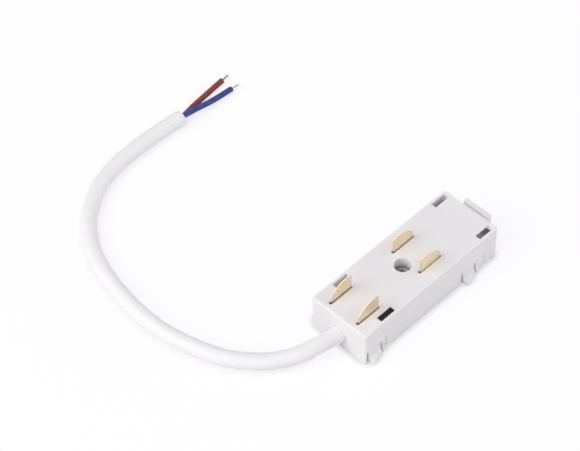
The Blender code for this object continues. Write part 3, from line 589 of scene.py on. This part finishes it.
POLYCARBONATE = moulded_polycarbonate()
PVC = extruded_pvc_sheath()
BRASS = stamped_brass()
ZINC = plain_metal("bright_zinc_plated_steel", "#5E5E61", "#DADADC", 0.35, 0.24, 0.01)
SPRING_STEEL = plain_metal("drawn_spring_wire", "#8E8E92", "#C2C2C6", 0.3, 0.28, 0.004)
TINNED_COPPER = plain_metal("tinned_copper_strand", "#7C7C7C", "#A8A6A2", 0.25, 0.34, 0.004)
MAGNET = coated_magnet("epoxy_coated_magnet", "#1B1718", "#262122")
# Painted light: the rear right magnet is paler and pinker, standing in for light from its pocket's pale walls
PAINTED_LIGHT_MAGNET = coated_magnet("epoxy_coated_magnet_painted_light", "#4E3F44", "#7B6469",
                             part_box("magnet_rear_right")[0].x + PAINTED_LIGHT_REACH)
CORE_COLOURS = {
    "brown": core_insulation("brown_pvc_insulation", "#823632", "#923E3C"),
    "blue": core_insulation("blue_pvc_insulation", "#2C3F86", "#364D9A"),
}


def dress(piece, material, body="housing", replaced=()):
    """Gives a piece its material and slot, lets it ride on its body and stand for its CAD nodes."""
    leave_edit()
    piece.data.materials.clear()
    piece.data.materials.append(material)
    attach(piece, body)
    if replaced:
        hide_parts(*replaced)
    return piece


# Camera

def direction(azimuth, elevation):
    """Unit vector from the middle towards a lamp or the camera."""
    return Vector((math.cos(elevation) * math.cos(azimuth), math.cos(elevation) * math.sin(azimuth),
                   math.sin(elevation)))


def make_camera():
    back = direction(CAMERA_AZIMUTH, CAMERA_ELEVATION)
    level = Vector((-math.sin(CAMERA_AZIMUTH), math.cos(CAMERA_AZIMUTH), 0))
    upright = back.cross(level)
    right = level * math.cos(CAMERA_ROLL) + upright * math.sin(CAMERA_ROLL)
    up = upright * math.cos(CAMERA_ROLL) - level * math.sin(CAMERA_ROLL)
    data = bpy.data.cameras.new("studio_camera")
    data.sensor_width = SENSOR_MM
    data.lens = FOCAL_PIXELS / IMAGE_WIDTH * SENSOR_MM
    data.clip_start = 10 * MM
    camera = bpy.data.objects.new("studio_camera", data)
    bpy.context.scene.collection.objects.link(camera)
    turn = Matrix((right, up, back)).transposed().to_4x4()
    camera.matrix_world = Matrix.Translation(CAMERA_TARGET + back * CAMERA_DISTANCE) @ turn
    bpy.context.scene.camera = camera


# Cable

def make_cable():
    """The sheath, the two cores past its cut end and their tinned strands."""
    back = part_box("housing_shell")[0].x
    resting = CABLE_DIAMETER / 2 + TABLE_CLEARANCE
    sheath_end = back + SHEATH_INSIDE
    route = [Vector((x, 0, CABLE_LEVEL)) for x in (sheath_end, back + SHEATH_INSIDE / 2, back)]
    route += [Vector((back + x * MM, y * MM, resting + share * (CABLE_LEVEL - resting)))
              for x, y, share in CABLE_ROUTE]
    points = smooth_route(route, SHEATH_STEP)
    cut = points[-1]
    # The cut end is drawn in a little, and the sheath swells where it is pressed through the hole
    radii = []
    for point in points:
        from_cut = (point - cut).length
        from_hole = abs(point.x - back) if abs(point.y) < CABLE_DIAMETER else math.inf
        narrow = CUT_NARROWING * max(0.0, 1 - from_cut / CUT_REACH) ** 2
        swell = HOLE_SWELL * math.exp(-(from_hole / HOLE_REACH) ** 2)
        radii.append(1 - narrow + swell)
    sheath = dress(tube("cable_sheath_pvc", points, CABLE_DIAMETER, radii, 14), PVC,
                   replaced=["cable_sheath"])
    carried = []
    for colour, offsets in CORE_ROUTES.items():
        stations = [Vector((cut.x + x * MM, cut.y + y * MM, z * MM)) for x, y, z in offsets]
        inward = (stations[0] - stations[1]).normalized() * CORE_INSIDE
        core_points = smooth_route([stations[0] + inward] + stations, CORE_STEP)
        core = dress(tube(f"core_{colour}_insulation", core_points, CORE_DIAMETER, None, 8),
                     CORE_COLOURS[colour], replaced=[f"core_{colour}"])
        carried += [core, make_strands(colour, core_points[-1], core_points[-1] - core_points[-2])]


def make_strands(colour, end, way):
    """The twisted strands that come out of a core's cut end."""
    way = way.normalized()
    side = way.cross(Vector((0, 0, 1))).normalized()
    other = way.cross(side)
    thickness = STRAND_DIAMETERS[colour]
    strands = []
    for number in range(STRANDS):
        reach = thickness if number else 0.0
        length = STRAND_LENGTH - (number % 3) * STRAND_UNEVENNESS
        points = []
        for step in range(STRAND_STEPS + 1):
            along = (length + STRAND_INSIDE) * step / STRAND_STEPS - STRAND_INSIDE
            angle = math.tau * (number / (STRANDS - 1) + along / STRAND_LAY)
            points.append(end + way * along + (side * math.cos(angle) + other * math.sin(angle)) * reach)
        strands.append(as_mesh(tube(f"strand_{colour}_{number}", points, thickness, None, 2)))
    select_only(*strands)
    bpy.ops.object.join()
    bundle = bpy.context.object
    bundle.name = bundle.data.name = f"conductor_{colour}_strands"
    return dress(bundle, TINNED_COPPER, replaced=[f"conductor_{colour}"])


# Housing and cover

def make_housing():
    """The moulded shell, with every edge eased as a mould leaves it."""
    shell = cad_copy("housing_shell", "housing_moulding")
    round_edges(shell, MOULD_ROUNDING)

    # Walls of the blades' slots, marked for the material's painted shade
    slots = []
    for place in PLACES:
        for side_name, side in SIDES.items():
            low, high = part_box(f"contact_blade_{place}_{side_name}")
            middle = high.y - STRIP_GAUGE / 2 if side > 0 else low.y + STRIP_GAUGE / 2
            slots.append((low.x - SLOT_REACH, high.x + SLOT_REACH, middle))
    wear_and_painted_shade = [CONTACT_FACE - SLOT_DEPTH < face.center.z < CONTACT_FACE - SLOT_RIM
              and any(start < face.center.x < end and abs(face.center.y - middle) < SLOT_REACH
                      for start, end, middle in slots) for face in shell.data.polygons]
    marks = shell.data.attributes.new("slot_painted_shade", "FLOAT", "FACE")
    marks.data.foreach_set("value", [float(wall) for wall in wear_and_painted_shade])
    dress(shell, POLYCARBONATE, replaced=["housing_shell"])


def make_cover():
    """The cover plate, with the shallow round marks that ejector pins leave on its outer face."""
    cover = cad_copy("base_cover", "cover_moulding")
    low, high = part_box("base_cover")
    for x in (low.x + EJECTOR_INSET, high.x - EJECTOR_INSET):
        for y in (-EJECTOR_OFFSET, EJECTOR_OFFSET):
            mark = disc("ejector_mark", (x, y, low.z - CUTTER_OVERLAP), EJECTOR_RADIUS,
                        CUTTER_OVERLAP + EJECTOR_DEPTH, 32)
            combine(cover, mark, "DIFFERENCE")
    round_edges(cover, MOULD_ROUNDING)
    dress(cover, POLYCARBONATE, replaced=["base_cover"])


def make_clip():
    """The clip that holds the cable down inside the housing."""
    clip = cad_copy("strain_relief_clip", "strain_relief_moulding")
    round_edges(clip, CLIP_ROUNDING)
    dress(clip, POLYCARBONATE, replaced=["strain_relief_clip"])


# Contacts

def make_blades():
    """One stamped blade, modelled at the front right and mirrored to the other three places."""
    low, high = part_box("contact_blade_front_right")
    foot_bottom = low.z + PIP_HEIGHT
    fold = foot_bottom + STRIP_GAUGE + FOLD_RADIUS    # height at which the fold begins
    middle = (low.x + high.x) / 2
    inner = low.y + STRIP_GAUGE                       # the face of the blade that looks inwards
    blade = block("blade_pattern", (low.x, low.y, CONTACT_FACE), (high.x, inner, high.z))

    # Top of the blade: one small round corner, and the other corner rounded over the whole length
    pick(blade, "EDGE",
         lambda at, way: at.x > high.x - NEAR and at.z > high.z - NEAR and abs(way.y) > 0.9)
    bpy.ops.mesh.bevel(offset=BLADE_CORNER_RADIUS, segments=6, affect="EDGES")
    pick(blade, "EDGE",
         lambda at, way: at.x < low.x + NEAR and at.z > high.z - NEAR and abs(way.y) > 0.9)
    bpy.ops.mesh.bevel(offset_type="PERCENT", offset_pct=99.9, segments=28, profile=BLADE_BACK_PROFILE,
                       affect="EDGES")

    # Root down to the fold, with a straight leg on each side of it past a relief slit
    pick(blade, "FACE", lambda at, way: way.z < -0.9)
    bpy.ops.mesh.extrude_region_move(TRANSFORM_OT_translate={"value": (0, 0, fold - CONTACT_FACE)})
    for reach in (FOOT_LENGTH / 2, FOOT_LENGTH / 2 + RELIEF_WIDTH):
        for x in (middle - reach, middle + reach):
            pick(blade, "FACE", lambda at, way: True)
            bpy.ops.mesh.bisect(plane_co=(x, 0, 0), plane_no=(1, 0, 0))
    pick(blade, "FACE", lambda at, way: way.z < -0.9 and abs(at.x - middle) > FOOT_LENGTH / 2 + RELIEF_WIDTH)
    bpy.ops.mesh.extrude_region_move(TRANSFORM_OT_translate={"value": (0, 0, foot_bottom - fold)})

    # Fold and flat foot over the spring
    pick(blade, "FACE", lambda at, way: way.z < -0.9 and abs(at.x - middle) < FOOT_LENGTH / 4)
    bpy.ops.mesh.spin(steps=6, angle=-math.pi / 2, center=(0, inner + FOLD_RADIUS, fold), axis=(1, 0, 0))
    pick(blade, "FACE", lambda at, way: way.y > 0.9 and at.z < fold and at.y > inner + FOLD_RADIUS / 2)
    bpy.ops.mesh.extrude_region_move(
        TRANSFORM_OT_translate={"value": (0, high.y - inner - FOLD_RADIUS, 0)})
    pick(blade, "EDGE", lambda at, way: at.y > high.y - NEAR and abs(way.z) > 0.9)
    bpy.ops.mesh.bevel(offset=FOOT_CORNER_RADIUS, segments=5, affect="EDGES")
    leave_edit()

    # Pip that centres the spring
    pip = disc("pip", (middle, low.y + FOOT_WIDTH / 2, low.z), PIP_DIAMETER / 2,
               PIP_HEIGHT + STRIP_GAUGE / 2, 24)
    pick(pip, "FACE", lambda at, way: way.z < -0.9)
    bpy.ops.mesh.bevel(offset=PIP_ROUNDING, segments=4, affect="EDGES")
    leave_edit()
    combine(blade, pip, "UNION")
    round_edges(blade, BLADE_ROUNDING, shortest=0.12 * MM)

    # The material tells the strip's sheared sides, and the rounded corners along them that carry a painted dark
    # line of shade, from its broad faces, by how far each face turns away from those
    turned = [face.normal.y ** 2 for face in blade.data.polygons]
    for name, least, most in (("sheared", 0, 0.1), ("painted_edge_shade", 0.1, 0.9)):
        marks = blade.data.attributes.new(name, "FLOAT", "FACE")
        marks.data.foreach_set("value", [float(least <= share < most) for share in turned])

    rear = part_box("contact_blade_rear_right")
    to_rear = middle + (rear[0].x + rear[1].x) / 2
    for place in PLACES:
        for side_name, side in SIDES.items():
            label = f"{place}_{side_name}"
            shift = (to_rear if place == "rear" else 0, 0, 0)
            twin = placed_copy(blade, f"blade_{label}_stamping", shift, place == "rear", side > 0)
            dress(twin, BRASS, f"blade_{label}", [f"contact_blade_{label}"])
    bpy.data.objects.remove(blade)


def make_springs():
    """Coil springs with closed ends and wire that thins to its tips."""
    for place in PLACES:
        for side_name in SIDES:
            label = f"{place}_{side_name}"
            low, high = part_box(f"contact_spring_{label}")
            middle = (low + high) / 2
            radius = (high.x - low.x - SPRING_WIRE) / 2
            open_height = high.z - low.z - SPRING_WIRE - 2 * CLOSED_RISE
            points, radii = [], []
            for step in range(SPRING_TURNS * STEPS_PER_TURN + 1):
                turns = step / STEPS_PER_TURN
                open_share = min(max((turns - CLOSED_TURNS) / (SPRING_TURNS - 2 * CLOSED_TURNS), 0), 1)
                closed = min(turns, CLOSED_TURNS) + max(turns - SPRING_TURNS + CLOSED_TURNS, 0)
                rise = CLOSED_RISE * closed / CLOSED_TURNS + open_share * open_height
                # Where the wire thins it still lies against the end of the spring's box
                radii.append(min(1.0, SPRING_TIP + TIP_GROWTH * min(turns, SPRING_TURNS - turns)))
                lean = (1 - radii[-1]) * SPRING_WIRE / 2 * (-1 if turns < SPRING_TURNS / 2 else 1)
                angle = math.tau * turns
                points.append((middle.x + radius * math.cos(angle), middle.y + radius * math.sin(angle),
                               low.z + SPRING_WIRE / 2 + rise + lean))
            spring = as_mesh(tube(f"spring_{label}_coil", points, SPRING_WIRE, radii, 3))
            bpy.ops.object.shade_smooth_by_angle(angle=WIRE_SMOOTHING)
            dress(spring, SPRING_STEEL, "housing", [f"contact_spring_{label}"])
            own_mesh(spring)


def make_magnets():
    """Block magnets with rounded, slightly swollen coats. The rear right one has painted light on it."""
    for place in PLACES:
        for side_name in SIDES:
            label = f"{place}_{side_name}"
            low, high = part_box(f"magnet_{label}")
            magnet = block(f"magnet_{label}_block", low, high)
            pick(magnet, "FACE", lambda at, way: abs(way.z) > 0.9)
            bpy.ops.mesh.inset(thickness=COAT_INSET, depth=-COAT_SWELL, use_individual=True)
            leave_edit()
            apply_modifier(magnet, "BEVEL", width=MAGNET_ROUNDING, segments=4, angle_limit=SHARP,
                           limit_method="ANGLE")
            finish_surface(magnet)
            coat = PAINTED_LIGHT_MAGNET if label == "rear_right" else MAGNET
            dress(magnet, coat, "housing", [f"magnet_{label}"])


def make_screw():
    """A pan head thread-forming screw with a cross recess."""
    low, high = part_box("cover_screw")
    x, y = (low.x + high.x) / 2, 0.0
    radius = (high.x - low.x) / 2
    screw = disc("screw_zinc", (x, y, high.z - HEAD_HEIGHT), radius, HEAD_HEIGHT, 48)
    pick(screw, "FACE", lambda at, way: way.z > 0.9)
    bpy.ops.mesh.bevel(offset=HEAD_ROUNDING, offset_type="OFFSET", segments=7, profile=0.5, affect="EDGES")
    pick(screw, "FACE", lambda at, way: way.z < -0.9)
    shank = SHANK_DIAMETER / 2
    bpy.ops.mesh.inset(thickness=radius - shank)
    bpy.ops.mesh.extrude_region_move(
        TRANSFORM_OT_translate={"value": (0, 0, low.z + TIP_LENGTH - high.z + HEAD_HEIGHT)})
    bpy.ops.mesh.extrude_region_move(TRANSFORM_OT_translate={"value": (0, 0, -TIP_LENGTH)})
    bpy.ops.transform.resize(value=(TIP_WIDTH, TIP_WIDTH, 1), center_override=(x, y, low.z))
    leave_edit()

    # Cross recess, narrower at its floor
    for quarter in range(2):
        wing = block("recess", (x - RECESS_LENGTH / 2, -RECESS_WIDTH / 2, high.z - RECESS_DEPTH),
                     (x + RECESS_LENGTH / 2, RECESS_WIDTH / 2, high.z + RECESS_OVERLAP))
        pick(wing, "FACE", lambda at, way: way.z < -0.9)
        bpy.ops.transform.resize(value=(*RECESS_FLOOR, 1), center_override=(x, y, high.z))
        leave_edit()
        turn = Matrix.Rotation(math.radians(RECESS_TURN + 90 * quarter), 4, "Z")
        centre = Matrix.Translation((x, y, 0))
        wing.data.transform(centre @ turn @ centre.inverted())
        combine(screw, wing, "DIFFERENCE")
    round_edges(screw, SCREW_ROUNDING, shortest=0.1 * MM)
    dress(screw, ZINC, replaced=["cover_screw"])

    # Thread: one closed ridge wound round the shank, which runs out over half a turn at each end
    start, stop = low.z + TIP_LENGTH, high.z - HEAD_HEIGHT - THREAD_CLEARANCE
    turns = (stop - start) / THREAD_PITCH
    count = round(turns * STEPS_PER_TURN)
    points, radii = [], []
    for step in range(count + 1):
        angle = math.tau * turns * step / count
        points.append((x + shank * math.cos(angle), y + shank * math.sin(angle),
                       start + (stop - start) * step / count))
        radii.append(min(1, THREAD_TIP + min(step, count - step) / (STEPS_PER_TURN / 2)))
    thread = as_mesh(tube("screw_thread", points, THREAD_HEIGHT * 2, radii, 1))
    dress(thread, ZINC)


def make_strips():
    """Brass strips on the cover, and the two leads soldered to them."""
    for side_name, colour in (("right", "brown"), ("left", "blue")):
        strip = cad_copy(f"bus_strip_{side_name}", f"bus_strip_{side_name}_stamping")
        round_edges(strip, STRIP_ROUNDING)
        dress(strip, BRASS, replaced=[f"bus_strip_{side_name}"])
        dress(nodes[f"lead_{colour}_inner"], CORE_COLOURS[colour])


# Studio

def seen(tree):
    """One where a surface is seen, by the camera or in a reflection, and zero where it only lights."""
    path = add(tree, "ShaderNodeLightPath")
    direct = add(tree, "ShaderNodeMath", {0: path.outputs["Is Camera Ray"], 1: path.outputs["Is Glossy Ray"]},
                 operation="MAXIMUM")
    return add(tree, "ShaderNodeMath", {0: direct.outputs[0], 1: path.outputs["Is Transmission Ray"]},
               operation="MAXIMUM").outputs[0]


def make_world():
    """Even white surroundings that light the object with less than they show."""
    world = bpy.data.worlds.new("white_studio")
    bpy.context.scene.world = world
    world.use_nodes = True
    tree = world.node_tree
    strength = add(tree, "ShaderNodeMix", {0: seen(tree), 2: SKY_LIGHT, 3: 1.0}, data_type="FLOAT")
    background = tree.nodes["Background"]
    background.inputs["Color"].default_value = srgb("#FFFFFF")
    tree.links.new(strength.outputs[0], background.inputs["Strength"])


def make_floor():
    """Pale paper. Where it is seen, part of it takes the lamps' light and the object's shadow, and the rest
    glows white as the photograph's background does."""
    bpy.ops.object.select_all(action="DESELECT")
    bpy.ops.mesh.primitive_plane_add(size=6)
    floor = bpy.context.object
    floor.name = "studio_floor"
    material, tree, shader, place = new_material("pale_studio_floor")
    shader.inputs["Base Color"].default_value = srgb("#E9E9EA")
    shader.inputs["Roughness"].default_value = 0.8
    shader.inputs["Specular IOR Level"].default_value = 0.0
    paper = add(tree, "ShaderNodeBsdfDiffuse", {"Color": srgb("#7C807A")})
    # The white sheet glows less close to what stands on it: much less at the housing, which is the tight shadow
    # of the photograph, and only a little less along the cable, which throws hardly any there
    away = add(tree, "ShaderNodeVectorMath", {0: place}, operation="LENGTH")
    darkest = add(tree, "ShaderNodeMapRange", {"Value": away.outputs["Value"], "From Min": HOUSING_REACH,
                                               "From Max": CABLE_BEYOND, "To Min": HOUSING_SHADE,
                                               "To Max": CABLE_SHADE})
    near = add(tree, "ShaderNodeAmbientOcclusion", {"Distance": SHADOW_REACH}, samples=8)
    level = add(tree, "ShaderNodeMapRange", {"Value": near.outputs["AO"], "From Min": 0.5,
                                             "To Min": darkest.outputs["Result"], "To Max": FLOOR_GLOW})
    glow = add(tree, "ShaderNodeEmission", {"Color": srgb("#FBF8FF"), "Strength": level.outputs["Result"]})
    shown = add(tree, "ShaderNodeAddShader", {0: paper.outputs[0], 1: glow.outputs[0]})
    mixed = add(tree, "ShaderNodeMixShader", {0: seen(tree), 1: shader.outputs[0], 2: shown.outputs[0]})
    tree.links.new(mixed.outputs[0], tree.nodes["Material Output"].inputs["Surface"])
    floor.data.materials.append(material)


def make_lamps():
    """Three soft boxes that face a point near the middle of the picture."""
    for name, (azimuth, elevation, power) in LAMPS.items():
        lamp = bpy.data.lights.new(name, "AREA")
        lamp.shape = "SQUARE"
        lamp.size = LAMP_SIZE
        lamp.energy = power
        item = bpy.data.objects.new(name, lamp)
        bpy.context.scene.collection.objects.link(item)
        way = direction(math.radians(azimuth), math.radians(elevation))
        item.location = LAMP_AIM + way * LAMP_DISTANCE
        item.rotation_euler = way.to_track_quat("Z", "Y").to_euler()


bpy.context.scene.view_settings.view_transform = "Standard"
make_camera()
make_cable()
make_housing()
make_cover()
make_clip()
make_blades()
make_springs()
make_magnets()
make_screw()
make_strips()
make_world()
make_floor()
make_lamps()
